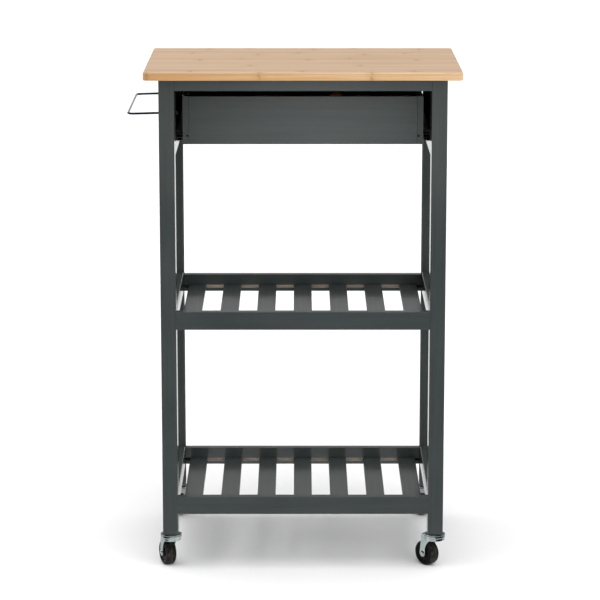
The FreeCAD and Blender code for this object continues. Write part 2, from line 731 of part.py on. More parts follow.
def drawer_handle():
    """Bent-rod pull with a threaded hole in the foot of each post."""
    half = HANDLE_SPACING / 2
    bar_y = HALF_DEPTH + HANDLE_REACH
    bend = HANDLE_BEND
    middle = bend * (1 - math.sqrt(0.5))

    def at(x, y):
        return Vector(x, y, HANDLE_HEIGHT)

    path = Part.Wire([
        Part.makeLine(at(-half, HALF_DEPTH), at(-half, bar_y - bend)),
        Part.Arc(at(-half, bar_y - bend), at(-half + middle, bar_y - middle),
                 at(-half + bend, bar_y)).toShape(),
        Part.makeLine(at(-half + bend, bar_y), at(half - bend, bar_y)),
        Part.Arc(at(half - bend, bar_y), at(half - middle, bar_y - middle),
                 at(half, bar_y - bend)).toShape(),
        Part.makeLine(at(half, bar_y - bend), at(half, HALF_DEPTH)),
    ])
    section = Part.Wire(Part.makeCircle(HANDLE_ROD_RADIUS, at(-half, HALF_DEPTH), Y_AXIS))
    pull = path.makePipeShell([section], True, True)
    depth = HANDLE_SCREW_LENGTH - (BOARD - HANDLE_POCKET_DEPTH) + HANDLE_THREAD_SPARE
    holes = []
    for side in SIDES.values():
        foot = at(side * half, HALF_DEPTH)
        holes.append(rod(HANDLE_SCREW_RADIUS + DRILL_CLEARANCE, foot, foot + Y_AXIS * depth))
    return pull.cut(holes)


def handle_screws():
    """Pan-head screws from inside the drawer front into the handle."""
    head_radius, head_height = HANDLE_SCREW_HEAD
    head = Part.makeCylinder(head_radius, head_height, Vector(0, 0, -head_height))
    shank = Part.makeCylinder(HANDLE_SCREW_RADIUS, HANDLE_SCREW_LENGTH)
    top_edges = [edge for edge in head.Edges if abs(edge.CenterOfMass.z + head_height) < 0.01]
    screw = joined([head.makeFillet(HANDLE_SCREW_ROUNDING, top_edges), shank])
    seat_y = HALF_DEPTH - BOARD + HANDLE_POCKET_DEPTH
    screws = []
    for side in SIDES.values():
        seat = Vector(side * HANDLE_SPACING / 2, seat_y, HANDLE_HEIGHT)
        screws.append(aimed(screw, seat, Y_AXIS))
    return screws


# ---- Casters, about their own swivel axis ----

def caster_mount():
    """Stem, upper ball cup and riveted kingpin: the part that stays with the leg."""
    inner = CROWN_RADIUS - CUP_METAL
    ceiling = SWIVEL_BALL_HEIGHT + SWIVEL_BALL_RADIUS + RUNNING_CLEARANCE
    head_radius, head_height = KINGPIN_HEAD
    head_top = CROWN_PLATE[0] - RUNNING_CLEARANCE
    stem_top = MOUNT_HEIGHT + STEM_LENGTH
    mount = turned([
        (0, head_top - head_height), (head_radius, head_top - head_height),
        (head_radius, head_top), (KINGPIN_RADIUS, head_top),
        (KINGPIN_RADIUS, ceiling), (inner, ceiling), (inner, CUP_BOTTOM),
        (CROWN_RADIUS, CUP_BOTTOM), (CROWN_RADIUS, CUP_SHOULDER),
        (CUP_TOP_RADIUS, MOUNT_HEIGHT), (STEM_RADIUS, MOUNT_HEIGHT),
        (STEM_RADIUS, stem_top - STEM_CHAMFER), (STEM_RADIUS - STEM_CHAMFER, stem_top),
        (0, stem_top),
    ])
    mount = rings_rounded(mount, CROWN_RADIUS, CROWN_ROUNDING)
    return rings_rounded(mount, head_radius, KINGPIN_ROUNDING)


def swivel_balls():
    """One ring of balls between the cup and the crown."""
    balls = []
    for index in range(SWIVEL_BALL_COUNT):
        angle = 2 * math.pi * index / SWIVEL_BALL_COUNT
        centre = Vector(
            SWIVEL_BALL_CIRCLE * math.cos(angle),
            SWIVEL_BALL_CIRCLE * math.sin(angle),
            SWIVEL_BALL_HEIGHT,
        )
        balls.append(Part.makeSphere(SWIVEL_BALL_RADIUS, centre))
    return balls


def fork_arm_face():
    """Outline of an arm: full width under the crown, narrowing to a round tip at the axle."""
    top = CROWN_PLATE[0] + FORK_EMBED
    outer = FORK_INNER_HALF_WIDTH + FORK_METAL
    front = -math.sqrt(FORK_SKIRT_RADIUS ** 2 - outer ** 2) + FORK_EMBED
    tip = FORK_TIP_RADIUS

    def at(x, z):
        return Vector(x, 0, z)

    start = at(FORK_ARM_START, FORK_SKIRT_BOTTOM)
    behind = at(TRAIL + tip, WHEEL_RADIUS)
    below = at(TRAIL, WHEEL_RADIUS - tip)
    ahead = at(TRAIL - tip, WHEEL_RADIUS)
    outline = Part.Wire([
        Part.makeLine(at(front, top), at(FORK_HOOD_REACH, top)),
        Part.makeLine(at(FORK_HOOD_REACH, top), behind),
        Part.Arc(behind, below, ahead).toShape(),
        Part.Arc(ahead, at(*FORK_ARM_WAIST), start).toShape(),
        Part.makeLine(start, at(front, FORK_SKIRT_BOTTOM)),
        Part.makeLine(at(front, FORK_SKIRT_BOTTOM), at(front, top)),
    ])
    return Part.Face(outline)


def caster_fork():
    """Pressed fork: a beaded crown with a ball track and a skirt, a hood and two arms."""
    plate_low, plate_high = CROWN_PLATE
    bead_low, bead_high = CROWN_BEAD
    wall = FORK_SKIRT_RADIUS - FORK_METAL
    lip = CROWN_RADIUS - FORK_METAL
    outer = FORK_INNER_HALF_WIDTH + FORK_METAL
    crown = turned([
        (KINGPIN_RADIUS + RUNNING_CLEARANCE, plate_low), (wall, plate_low),
        (wall, FORK_SKIRT_BOTTOM), (FORK_SKIRT_RADIUS, FORK_SKIRT_BOTTOM),
        (FORK_SKIRT_RADIUS, bead_low), (CROWN_RADIUS, bead_high),
        (CROWN_RADIUS, CROWN_TOP), (lip, CROWN_TOP), (lip, plate_high),
        (KINGPIN_RADIUS + RUNNING_CLEARANCE, plate_high),
    ])
    crown = rings_rounded(crown, CROWN_RADIUS, CROWN_ROUNDING)
    hood_start = FORK_SKIRT_RADIUS - FORK_HOOD_CORNER - FORK_METAL
    hood = block((hood_start, FORK_HOOD_REACH), (-outer, outer), (plate_low, plate_high))
    pieces = [crown, eased(hood, FORK_HOOD_CORNER, Z_AXIS)]
    for way in (-1, 1):
        arm = fork_arm_face().extrude(Vector(0, FORK_METAL, 0))
        arm.translate(Vector(0, FORK_INNER_HALF_WIDTH if way > 0 else -outer, 0))
        pieces.append(arm)
    track = Part.makeTorus(
        SWIVEL_BALL_CIRCLE, SWIVEL_BALL_RADIUS + RUNNING_CLEARANCE,
        Vector(0, 0, SWIVEL_BALL_HEIGHT),
    )
    bore = rod(
        AXLE_RADIUS + DRILL_CLEARANCE,
        Vector(TRAIL, -outer - OVERCUT, WHEEL_RADIUS),
        Vector(TRAIL, outer + OVERCUT, WHEEL_RADIUS),
    )
    return joined(pieces).cut([track, bore])


def caster_axle():
    """Riveted axle pin with a domed head outside each arm."""
    outer = FORK_INNER_HALF_WIDTH + FORK_METAL
    head_radius, head_height = AXLE_HEAD
    upper = [(AXLE_RADIUS, outer), (head_radius, outer)]
    for share_of_radius, share_of_height in AXLE_DOME:
        upper.append((head_radius * share_of_radius, outer + head_height * share_of_height))
    upper.append((0, outer + head_height))
    lower = [(radius, -height) for radius, height in reversed(upper)]
    return aimed(turned(lower + upper), Vector(TRAIL, 0, WHEEL_RADIUS), Y_AXIS)


def caster_wheel():
    """Moulded wheel with rounded shoulders, dished sides and a fine seam round the tread."""
    tread = WHEEL_RADIUS - WHEEL_SEAM
    flat = WHEEL_HALF_WIDTH - WHEEL_SHOULDER
    side_radius = tread - WHEEL_SHOULDER
    nudge = WHEEL_SHOULDER * math.sqrt(0.5)
    bore = AXLE_RADIUS + RUNNING_CLEARANCE

    def at(radius, height):
        return Vector(radius, 0, height)

    def side_edges(way):
        rim = way * WHEEL_HALF_WIDTH
        dish = way * (WHEEL_HALF_WIDTH - SIDE_DISH)
        corners = [
            at(side_radius, rim), at(RIM_INNER_RADIUS, rim),
            at(RIM_INNER_RADIUS - SIDE_DISH_SLOPE, dish), at(HUB_RADIUS + HUB_SLOPE, dish),
            at(HUB_RADIUS, way * HUB_HALF_WIDTH),
            at(bore, way * HUB_HALF_WIDTH),
        ]
        shoulder = Part.Arc(
            at(tread, way * flat), at(side_radius + nudge, way * (flat + nudge)), corners[0]
        ).toShape()
        steps = zip(corners, corners[1:])
        return [shoulder] + [Part.makeLine(start, end) for start, end in steps]

    edges = side_edges(1) + side_edges(-1)
    edges.append(Part.makeLine(at(tread, -flat), at(tread, flat)))
    edges.append(Part.makeLine(at(bore, -HUB_HALF_WIDTH), at(bore, HUB_HALF_WIDTH)))
    outline = Part.Wire(Part.__sortEdges__(edges))
    disc = Part.Face(outline).revolve(ORIGIN, Z_AXIS, 360)
    foot, crest = SEAM_HALF_WIDTHS
    seam = turned([
        (tread - SEAM_ROOT, -foot), (tread, -foot), (WHEEL_RADIUS, -crest),
        (WHEEL_RADIUS, crest), (tread, foot), (tread - SEAM_ROOT, foot),
    ])
    return aimed(joined([disc, seam]), Vector(TRAIL, 0, WHEEL_RADIUS), Y_AXIS)


def at_leg(shape, side, end, degrees):
    """Swivels a caster piece to its resting angle and moves it under its leg."""
    placed = shape.copy()
    placed.rotate(ORIGIN, Z_AXIS, degrees)
    placed.translate(Vector(side * LEG_CENTRE_X, end * LEG_CENTRE_Y, 0))
    return placed


# ---- Assembly ----

def write_frame():
    """Everything that stays still, apart from the casters' upper halves."""
    dowels, dowel_holes = frame_dowels()
    bolts, nuts, bolt_holes = frame_bolts()
    top_screws, top_holes = worktop_screws()
    inserts, insert_holes = caster_inserts()
    runner_screws, runner_holes = [], []
    for side in SIDES.values():
        outward = Vector(side, 0, 0)
        screws, holes = slide_screws(side, SLIDE_METAL, outward, BOARD - SCREW_TO_FACE)
        runner_screws += screws
        runner_holes += holes
    cutters = dowel_holes + bolt_holes + top_holes + insert_holes + runner_holes

    save("worktop", drilled(worktop(), top_holes))
    for end_name, end in ENDS.items():
        save(f"top_rail_{end_name}", drilled(top_rail(end), cutters))
        for side_name, side in SIDES.items():
            save(f"leg_{end_name}_{side_name}", drilled(leg(side, end), cutters))
    for side_name, side in SIDES.items():
        holes = cutters + towel_rail_holes()
        save(f"apron_{side_name}", drilled(apron(side), holes))
        save(f"slide_outer_{side_name}", drilled(slide_outer(side), runner_holes))
    for shelf, bottom in SHELF_BOTTOMS.items():
        for end_name, end in ENDS.items():
            save(f"{shelf}_shelf_rail_{end_name}", drilled(shelf_rail(end, bottom), cutters))
        for side_name, side in SIDES.items():
            save(f"{shelf}_side_rail_{side_name}", drilled(side_rail(side, bottom), cutters))
        save(f"{shelf}_shelf_slats", Part.makeCompound(slats(bottom)))
    save("towel_rail", towel_rail())
    groups = {
        "frame_dowels": dowels,
        "frame_bolts": bolts,
        "barrel_nuts": nuts,
        "worktop_screws": top_screws,
        "caster_inserts": inserts,
        "slide_screws_fixed": runner_screws,
        "towel_rail_nuts": towel_rail_nuts(),
    }
    for node, solids in groups.items():
        save(node, Part.makeCompound(solids))


def write_drawer():
    """The drawer with its handle, and the moving halves of the slides."""
    pegs, peg_holes = drawer_pegs()
    screws, screw_holes = [], []
    balls = []
    for side_name, side in SIDES.items():
        web_face = SLIDE_GAP - SLIDE_METAL
        inward = Vector(-side, 0, 0)
        length = SLIDE_METAL + DRAWER_WALL - PANEL_GROOVE_DEPTH - SCREW_TO_GROOVE
        row, holes = slide_screws(side, web_face, inward, length)
        screws += row
        screw_holes += holes
        save(f"slide_inner_{side_name}", drilled(slide_inner(side), holes))
        save(f"drawer_side_{side_name}", drilled(drawer_side(side), peg_holes + holes))
        save(f"slide_cage_{side_name}", slide_cage(side))
        balls += [Part.makeSphere(BALL_RADIUS, centre) for centre in ball_centres(side)]
    save("drawer_front", drilled(drawer_front(), peg_holes))
    save("drawer_back", drilled(drawer_back(), peg_holes))
    save("drawer_bottom", drawer_bottom())
    save("drawer_handle", drawer_handle())
    groups = {
        "drawer_pegs": pegs,
        "slide_screws_moving": screws,
        "slide_balls": balls,
        "handle_screws": handle_screws(),
    }
    for node, solids in groups.items():
        save(node, Part.makeCompound(solids))


def write_casters():
    """A caster under each leg, with the four rings of swivel balls in one group."""
    pieces = {
        "mount": caster_mount(),
        "fork": caster_fork(),
        "axle": caster_axle(),
        "wheel": caster_wheel(),
    }
    rings = []
    for end_name, end in ENDS.items():
        for side_name, side in SIDES.items():
            corner = f"{end_name}_{side_name}"
            degrees = CASTER_REST_DEGREES[corner]
            for piece, shape in pieces.items():
                save(f"caster_{piece}_{corner}", at_leg(shape, side, end, degrees))
            ring = Part.makeCompound(swivel_balls())
            rings += at_leg(ring, side, end, degrees).Solids
    save("swivel_balls", Part.makeCompound(rings))


os.makedirs("parts", exist_ok=True)
write_frame()
write_drawer()
write_casters()
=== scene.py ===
import json
import math

import bmesh
import bpy
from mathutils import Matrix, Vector


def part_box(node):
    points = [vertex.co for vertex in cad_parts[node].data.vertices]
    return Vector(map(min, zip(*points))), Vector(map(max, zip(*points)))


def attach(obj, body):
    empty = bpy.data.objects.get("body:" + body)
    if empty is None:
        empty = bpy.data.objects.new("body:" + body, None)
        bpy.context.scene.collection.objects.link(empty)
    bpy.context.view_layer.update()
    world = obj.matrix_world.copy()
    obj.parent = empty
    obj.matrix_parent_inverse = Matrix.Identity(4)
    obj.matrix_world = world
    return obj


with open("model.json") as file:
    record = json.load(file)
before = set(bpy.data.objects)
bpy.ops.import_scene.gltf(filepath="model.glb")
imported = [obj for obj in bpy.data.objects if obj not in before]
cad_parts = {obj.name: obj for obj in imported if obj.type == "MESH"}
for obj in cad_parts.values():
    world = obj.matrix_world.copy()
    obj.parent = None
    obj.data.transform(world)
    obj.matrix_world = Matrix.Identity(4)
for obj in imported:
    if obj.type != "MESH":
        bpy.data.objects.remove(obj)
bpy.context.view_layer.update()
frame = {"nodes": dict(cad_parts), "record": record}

# Kitchen island cart, seen from its back: the drawer opens away from the camera and the
# towel rail is on the left. Lengths are in metres and angles in degrees.

NODES = frame["nodes"]
WORKTOP_LOW, WORKTOP_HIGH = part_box("worktop")
CART_MIDDLE = (WORKTOP_LOW + WORKTOP_HIGH) / 2
SLIDE_HEIGHT = sum(corner.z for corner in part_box("slide_outer_left")) / 2

# Camera, with its lens and sensor in millimetres
CAMERA_DISTANCE = 4.70
CAMERA_HEIGHT = 1.4557
CAMERA_SIDE = -0.0082
CAMERA_PITCH = 12.02
CAMERA_YAW = -0.038
CAMERA_REACH = 200.0
CAMERA_LENS = 158.9
SENSOR_WIDTH = 36.0

# Colours, in linear light
# The bamboo's top palette is paler and greyer than its edge palette: painted sheen of the bright
# surroundings on the top faces
BAMBOO_TOP_PAINTED_SHEEN = ((0.478, 0.300, 0.169), (0.585, 0.397, 0.248), (0.675, 0.478, 0.320))
BAMBOO_EDGE = ((0.475, 0.245, 0.084), (0.59, 0.348, 0.153), (0.70, 0.472, 0.268))
BAMBOO_RING = (0.26, 0.115, 0.04)
BAMBOO_HALO = (0.46, 0.255, 0.095)
LACQUER = (0.046, 0.057, 0.055)
LACQUER_DEEP = (0.035, 0.044, 0.0425)
# Pale arris colour of the lacquer: partly wear, partly painted highlight
LACQUER_ARRIS_WEAR_AND_HIGHLIGHT = (0.095, 0.110, 0.107)
INSIDE = (0.040, 0.039, 0.038)
INSIDE_DEEP = (0.028, 0.027, 0.026)
RAW_WOOD = (0.72, 0.64, 0.56)
RAW_WOOD_DARK = (0.34, 0.285, 0.235)
BOARD = (0.055, 0.060, 0.058)
BOARD_DEEP = (0.030, 0.035, 0.034)
CHROME = (0.68, 0.69, 0.695)
# Darker, teal-tinted chrome for the casters: painted reflection, standing in for the teal-grey
# shades their surroundings put in them
CASTER_CHROME_PAINTED_TEAL = (0.57, 0.655, 0.635)
# The towel rail's chrome is far darker than real chrome: painted shade for the dark reflections that
# blacken its arms
RAIL_CHROME_PAINTED_DARK = (0.105, 0.115, 0.145)
ZINC = (0.60, 0.61, 0.62)
BLACK_STEEL = (0.030, 0.031, 0.033)
WHEEL_BLACK = (0.0040, 0.0040, 0.0042)
WHEEL_TREAD = (0.009, 0.0088, 0.0085)
WHEEL_SCUFF = (0.075, 0.070, 0.058)
LABEL_BROWN = (0.85, 0.30, 0.07)
FLOOR_WHITE = (0.93, 0.93, 0.93)
WHITE = (1.0, 1.0, 1.0)
BLACK = (0.0, 0.0, 0.0)

# Bamboo strips of the worktop: their seams start and are darkest this far from a strip's
# middle, in widths, and some strips show rings
STAVE_WIDTH = 0.0205
SEAM_START = 0.485
SEAM_FULL = 0.499
STAVE_SHUFFLE = 0.618034
RING_PITCH = 0.193
RING_WIDTH = 0.0045
RING_START = -0.0054
RING_WARP = 0.006
RING_SHUFFLE = 0.7548777
RING_SHARE = 0.47

# Fineness of the lacquered grain along X, Y and Z, lowest along the wood
GRAIN_ACROSS = (6.0, 220.0, 220.0)
GRAIN_LENGTHWISE = (220.0, 6.0, 220.0)
GRAIN_UPRIGHT = (220.0, 220.0, 6.0)

# Roughness of the lacquer's clear coat
COAT_HAZE = 0.09
SLAT_HAZE = 0.20

# Bare wood in the shelf rails' grooves: how far in from the rail's ends and from its faces it
# starts, and how far from the cart's middle it reaches before overspray covers it
GROOVE_IN = 0.0006
GROOVE_SKIN = 0.0003
BARE_REACH = 0.198
OVERSPRAY_FADE = 0.006

# Half the height over which the inside coat turns from satin to matt
MATT_FADE = 0.002

# Most values of a noise are between these
NOISE_LOW = 0.3
NOISE_HIGH = 0.7

# Cosines between a rounded and a true normal, where wear on an arris starts and is full
FLAT_COSINE = 0.995
ARRIS_COSINE = 0.86

# Radius that the arrises of plated pieces are shaded with
PLATE_ARRIS = 0.0009

# Points of a wheel further than this from its middle are on the tread
TREAD_REACH = 0.0216
TREAD_FADE = 0.0006

# Places of the extra coats in a lacquered piece's list of materials
RAW_COAT, INSIDE_COAT, MATT_COAT = 1, 2, 3

# A face looks along an axis when its normal's share of that axis is over this
FACING_SHARE = 0.99

# Edges sharper than this stay crisp
SMOOTH_ANGLE = 30

# Label on the inside of the drawer front
LABEL_RADIUS = 0.015
LABEL_THICKNESS = 0.0003
LABEL_FLAT = 0.6
LABEL_ASIDE = 0.0624
LABEL_HEIGHT = 0.7985
LABEL_STEPS = 72

# Studio: its lights, the floor, and the white wall that closes low views
WORLD_LIGHT = 0.66
OVERHEAD_LIGHT = 1.7
OVERHEAD_FROM = (-0.10, -0.15, 1.0)
OVERHEAD_SPREAD = 60
KEY_LIGHT = 1.0
KEY_FROM = (0.45, -1.0, 0.9)
KEY_SPREAD = 50
SUN_DISTANCE = 4.0
FLOOR_SIZE = 60.0
BACKDROP_RADIUS = 28.0
BACKDROP_LOW = -1.0
BACKDROP_HIGH = 40.0
BACKDROP_STEPS = 96

# Cards that the cart reflects, painted reflections that stand for the studio's shade and light:
# radii and heights of their edges, how far round they go to each side, and the glow on the far
# floor, a painted pool of light
CARD_STEPS = 48
CARD_LIFT = 0.002
FOOT_RADIUS = 0.26
NEAR_RADIUS = 0.45
FAR_RADIUS = 4.2
CARD_RADIUS = 8.0
CEILING_RADIUS = 3.6
CEILING_HEIGHT = 10.0
BAND_LOW = 2.0
BAND_HIGH = 2.32
WALL_HIGH = 9.0
FLOOR_SPREAD = 100.0
NEAR_SPREAD = 80.0
FAR_SPREAD = 70.0
GLOW_SHADE = 0.95
GLOW_MIDDLE = 0.10
GLOW_REACH = 0.62
GLOW_SOFTNESS = 0.1


# ---- Node helpers ----

class Graph:
    """A material's node tree, with short ways to add and join nodes."""

    def __init__(self, name):
        self.material = bpy.data.materials.new(name)
        self.material.use_nodes = True
        self.tree = self.material.node_tree
        self.shader = self.tree.nodes["Principled BSDF"]

    def add(self, kind, inputs=None, **settings):
        node = self.tree.nodes.new(kind)
        for key, value in settings.items():
            setattr(node, key, value)
        for key, value in (inputs or {}).items():
            self.feed(node.inputs[key], value)
        return node

    def feed(self, socket, value):
        if isinstance(value, bpy.types.NodeSocket):
            self.tree.links.new(value, socket)
        else:
            socket.default_value = value

    def surface(self, **values):
        """Sets sockets of the shader, named with _ for their spaces."""
        for key, value in values.items():
            if isinstance(value, tuple) and len(value) == 3:
                value = (*value, 1.0)
            self.feed(self.shader.inputs[key.replace("_", " ")], value)

    def math(self, operation, first, second=0.0, third=0.0):
        node = self.add("ShaderNodeMath", operation=operation)
        for socket, value in zip(node.inputs, (first, second, third)):
            self.feed(socket, value)
        return node.outputs[0]

    def total(self, *terms):
        """The sum of values, each given with its weight."""
        scaled = [self.math("MULTIPLY", value, weight) for value, weight in terms]
        result = scaled[0]
        for value in scaled[1:]:
            result = self.math("ADD", result, value)
        return result

    def distance(self, value, centre):
        return self.math("ABSOLUTE", self.math("SUBTRACT", value, centre))

    def from_cell_middle(self, value, pitch):
        """How far a value is from the middle of its cell: 0 to 0.5 of the cells' pitch."""
        return self.distance(self.math("FRACT", self.math("DIVIDE", value, pitch)), 0.5)

    def shuffled(self, whole, step):
        """A fraction that jumps about as a whole number counts up."""
        return self.math("FRACT", self.math("MULTIPLY", whole, step))

    def place(self):
        """The piece's own coordinates, in metres."""
        return self.add("ShaderNodeTexCoord").outputs["Object"]

    def axes(self, vector):
        split = self.add("ShaderNodeSeparateXYZ", {"Vector": vector})
        return split.outputs["X"], split.outputs["Y"], split.outputs["Z"]

    def combine(self, x, y, z):
        return self.add("ShaderNodeCombineXYZ", {"X": x, "Y": y, "Z": z}).outputs[0]

    def noise(self, vector, scale, detail=2.0, roughness=0.5):
        node = self.add("ShaderNodeTexNoise", {
            "Vector": vector, "Scale": scale, "Detail": detail, "Roughness": roughness,
        })
        return node.outputs["Fac"]

    def grain(self, vector, fineness, detail=4.0, roughness=0.6):
        """Noise with its own fineness along X, Y and Z, such as fibres drawn out along one."""
        mapping = self.add("ShaderNodeMapping", {"Vector": vector, "Scale": fineness})
        return self.noise(mapping.outputs[0], 1.0, detail, roughness)

    def mix(self, factor, first, second):
        node = self.add("ShaderNodeMix", data_type="RGBA")
        self.feed(node.inputs["Factor"], factor)
        colours = [s for s in node.inputs if s.type == "RGBA"]
        for socket, value in zip(colours, (first, second)):
            if isinstance(value, tuple):
                value = (*value, 1.0)
            self.feed(socket, value)
        return [s for s in node.outputs if s.type == "RGBA"][0]

    def ramp(self, factor, stops):
        node = self.add("ShaderNodeValToRGB", {"Fac": factor})
        elements = node.color_ramp.elements
        while len(elements) < len(stops):
            elements.new(0.5)
        for element, (position, colour) in zip(elements, stops):
            element.position = position
            element.color = (*colour, 1.0)
        return node.outputs["Color"]

    def remap(self, value, low, high, to_low=0.0, to_high=1.0):
        node = self.add("ShaderNodeMapRange", {
            "Value": value, "From Min": low, "From Max": high,
            "To Min": to_low, "To Max": to_high,
        })
        return node.outputs["Result"]

    def vary(self, noise, low, high):
        """Spreads a noise over values from low to high."""
        return self.remap(noise, NOISE_LOW, NOISE_HIGH, low, high)

    def edge_mask(self, radius):
        """0 on flat faces, rising to 1 on the arrises of a piece."""
        rounded = self.add("ShaderNodeBevel", {"Radius": radius}, samples=4)
        true_normal = self.add("ShaderNodeNewGeometry").outputs["True Normal"]
        dot = self.add("ShaderNodeVectorMath", operation="DOT_PRODUCT")
        self.feed(dot.inputs[0], rounded.outputs[0])
        self.feed(dot.inputs[1], true_normal)
        return self.remap(dot.outputs["Value"], FLAT_COSINE, ARRIS_COSINE)

    def bump(self, height, strength, distance, arris=0.0):
        """Relief from a height, with sharp edges shaded as if rounded to a radius of arris."""
        node = self.add("ShaderNodeBump", {
            "Height": height, "Strength": strength, "Distance": distance,
        })
        if arris:
            rounded = self.add("ShaderNodeBevel", {"Radius": arris}, samples=8)
            self.feed(node.inputs["Normal"], rounded.outputs[0])
        self.feed(self.shader.inputs["Normal"], node.outputs[0])


# ---- Materials ----

def bamboo():
    """Oiled bamboo: long staves, each with its own tint, fine fibres and scattered rings. Faces
    looking up or down take a paler, greyer palette as painted sheen; the edges darken towards the
    left end as painted shade; arrises are paler partly from wear and partly as painted highlight.
    """
    graph = Graph("bamboo_oiled")
    place = graph.place()
    x, y, z = graph.axes(place)
    stave = graph.math("FLOOR", graph.math("DIVIDE", y, STAVE_WIDTH))
    phase = graph.shuffled(stave, STAVE_SHUFFLE)
    slid = graph.math("ADD", x, graph.math("MULTIPLY", phase, RING_PITCH))

    warp = graph.noise(place, scale=90.0, detail=3.0)
    along = graph.math("ADD", slid, RING_START)
    along = graph.math("ADD", along, graph.math("MULTIPLY", warp, RING_WARP))
    from_ring = graph.math("MULTIPLY", graph.from_cell_middle(along, RING_PITCH), RING_PITCH)
    ring = graph.remap(from_ring, RING_WIDTH, RING_WIDTH * 0.2)
    halo = graph.remap(from_ring, RING_WIDTH * 4, RING_WIDTH)
    patchy = graph.remap(graph.noise(place, scale=330.0, detail=3.0), 0.42, 0.62)
    present = graph.math("LESS_THAN", graph.shuffled(stave, RING_SHUFFLE), RING_SHARE)
    ring = graph.math("MULTIPLY", graph.math("MULTIPLY", ring, patchy), present)
    halo = graph.math("MULTIPLY", halo, present)

    own = graph.combine(slid, y, z)
    fibre = graph.grain(own, (9.0, 900.0, 900.0), roughness=0.65)
    streak = graph.grain(own, (3.0, 95.0, 95.0), detail=3.0, roughness=0.55)
    cloud = graph.noise(place, scale=5.0)
    tone = graph.total((fibre, 0.35), (streak, 0.40), (phase, 0.16), (cloud, 0.14))
    stops = (0.34, 0.50, 0.66)
    painted_sheen_colour = graph.ramp(tone, list(zip(stops, BAMBOO_TOP_PAINTED_SHEEN)))
    # Painted shade: the edges darken towards the worktop's left end and lighten a little towards its
    # right end
    painted_shade_drift = graph.remap(x, WORKTOP_LOW.x, WORKTOP_HIGH.x, -0.22, 0.06)
    edge_colour = graph.ramp(graph.math("ADD", tone, painted_shade_drift), list(zip(stops, BAMBOO_EDGE)))
    # Faces looking up or down take the paler, greyer top palette: painted sheen, not a different
    # wood
    upright = graph.axes(graph.add("ShaderNodeNewGeometry").outputs["True Normal"])[2]
    is_face = graph.remap(graph.math("ABSOLUTE", upright), 0.55, 0.95)
    seam = graph.remap(graph.from_cell_middle(y, STAVE_WIDTH), SEAM_START, SEAM_FULL)
    # Paler arrises: partly wear, partly painted highlight where the rounded edges would catch light
    lightened = graph.edge_mask(radius=0.0022)
    colour = graph.mix(is_face, edge_colour, painted_sheen_colour)
    for mask, share, tint in (
        (halo, 0.30, BAMBOO_HALO), (ring, 0.85, BAMBOO_RING),
        (seam, 0.05, BAMBOO_TOP_PAINTED_SHEEN[0]), (lightened, 0.30, BAMBOO_EDGE[2]),
    ):
        colour = graph.mix(graph.math("MULTIPLY", mask, share), colour, tint)

    roughness = graph.vary(fibre, 0.36, 0.52)
    graph.surface(Base_Color=colour, Roughness=roughness)
    graph.surface(Coat_Weight=0.35, Coat_Roughness=0.30)
    relief = graph.total((fibre, 0.5), (seam, -0.5), (ring, 0.3))
    graph.bump(relief, strength=0.35, distance=0.0003)
    return graph.material


def lacquer(name, fineness, haze=COAT_HAZE):
    """Dark grey satin lacquer over wood: faint grain, brush ripple, and arrises paled partly by wear
    and partly as painted highlight.
    """
    graph = Graph(name)
    place = graph.place()
    grain = graph.grain(place, fineness)
    cloud = graph.noise(place, scale=7.0)
    ripple = graph.noise(place, scale=420.0)
    tone = graph.total((grain, 0.55), (cloud, 0.45))
    colour = graph.ramp(tone, [(0.32, LACQUER_DEEP), (0.62, LACQUER)])
    # Paler arrises: rubbed wear, and painted highlight where the rounded edges would catch light
    rub = graph.remap(graph.noise(place, scale=55.0, detail=3.0), 0.40, 0.68, 0.15, 0.75)
    lightened = graph.math("MULTIPLY", graph.edge_mask(radius=0.0012), rub)
    colour = graph.mix(lightened, colour, LACQUER_ARRIS_WEAR_AND_HIGHLIGHT)
    roughness = graph.remap(graph.math("ADD", grain, cloud), 0.6, 1.4, 0.38, 0.52)
    graph.surface(Base_Color=colour, Roughness=roughness, Specular_IOR_Level=0.3)
    graph.surface(Coat_Weight=1.0, Coat_Roughness=haze)
    graph.bump(graph.total((grain, 0.8), (ripple, 0.2)), strength=0.07, distance=0.00015)
    return graph.material


def thin_coat(name, fineness):
    """Starts a thin, sprayed inner coat; returns its graph, its place and its speckle."""
    graph = Graph(name)
    place = graph.place()
    grain = graph.grain(place, fineness)
    spray = graph.noise(place, scale=600.0)
    graph.surface(Base_Color=graph.ramp(grain, [(0.32, INSIDE_DEEP), (0.62, INSIDE)]))
    graph.bump(graph.math("ADD", grain, spray), strength=0.15, distance=0.0002)
    return graph, place, spray


def inside_lacquer():
    """The coat of most inner faces: matt above the drawer slides, satin below them."""
    graph, place, spray = thin_coat("lacquer_inside", GRAIN_LENGTHWISE)
    height = graph.axes(place)[2]
    above = graph.remap(height, SLIDE_HEIGHT - MATT_FADE, SLIDE_HEIGHT + MATT_FADE)
    matt = graph.vary(spray, 0.75, 0.90)
    graph.surface(Roughness=graph.remap(above, 0.0, 1.0, 0.16, matt), Specular_IOR_Level=0.4)
    return graph.material


def matt_lacquer():
    """The dead-matt coat on the inner faces of the two front legs."""
    graph, _, spray = thin_coat("lacquer_matt", GRAIN_UPRIGHT)
    graph.surface(Roughness=graph.vary(spray, 0.80, 0.95), Specular_IOR_Level=0.0)
    return graph.material


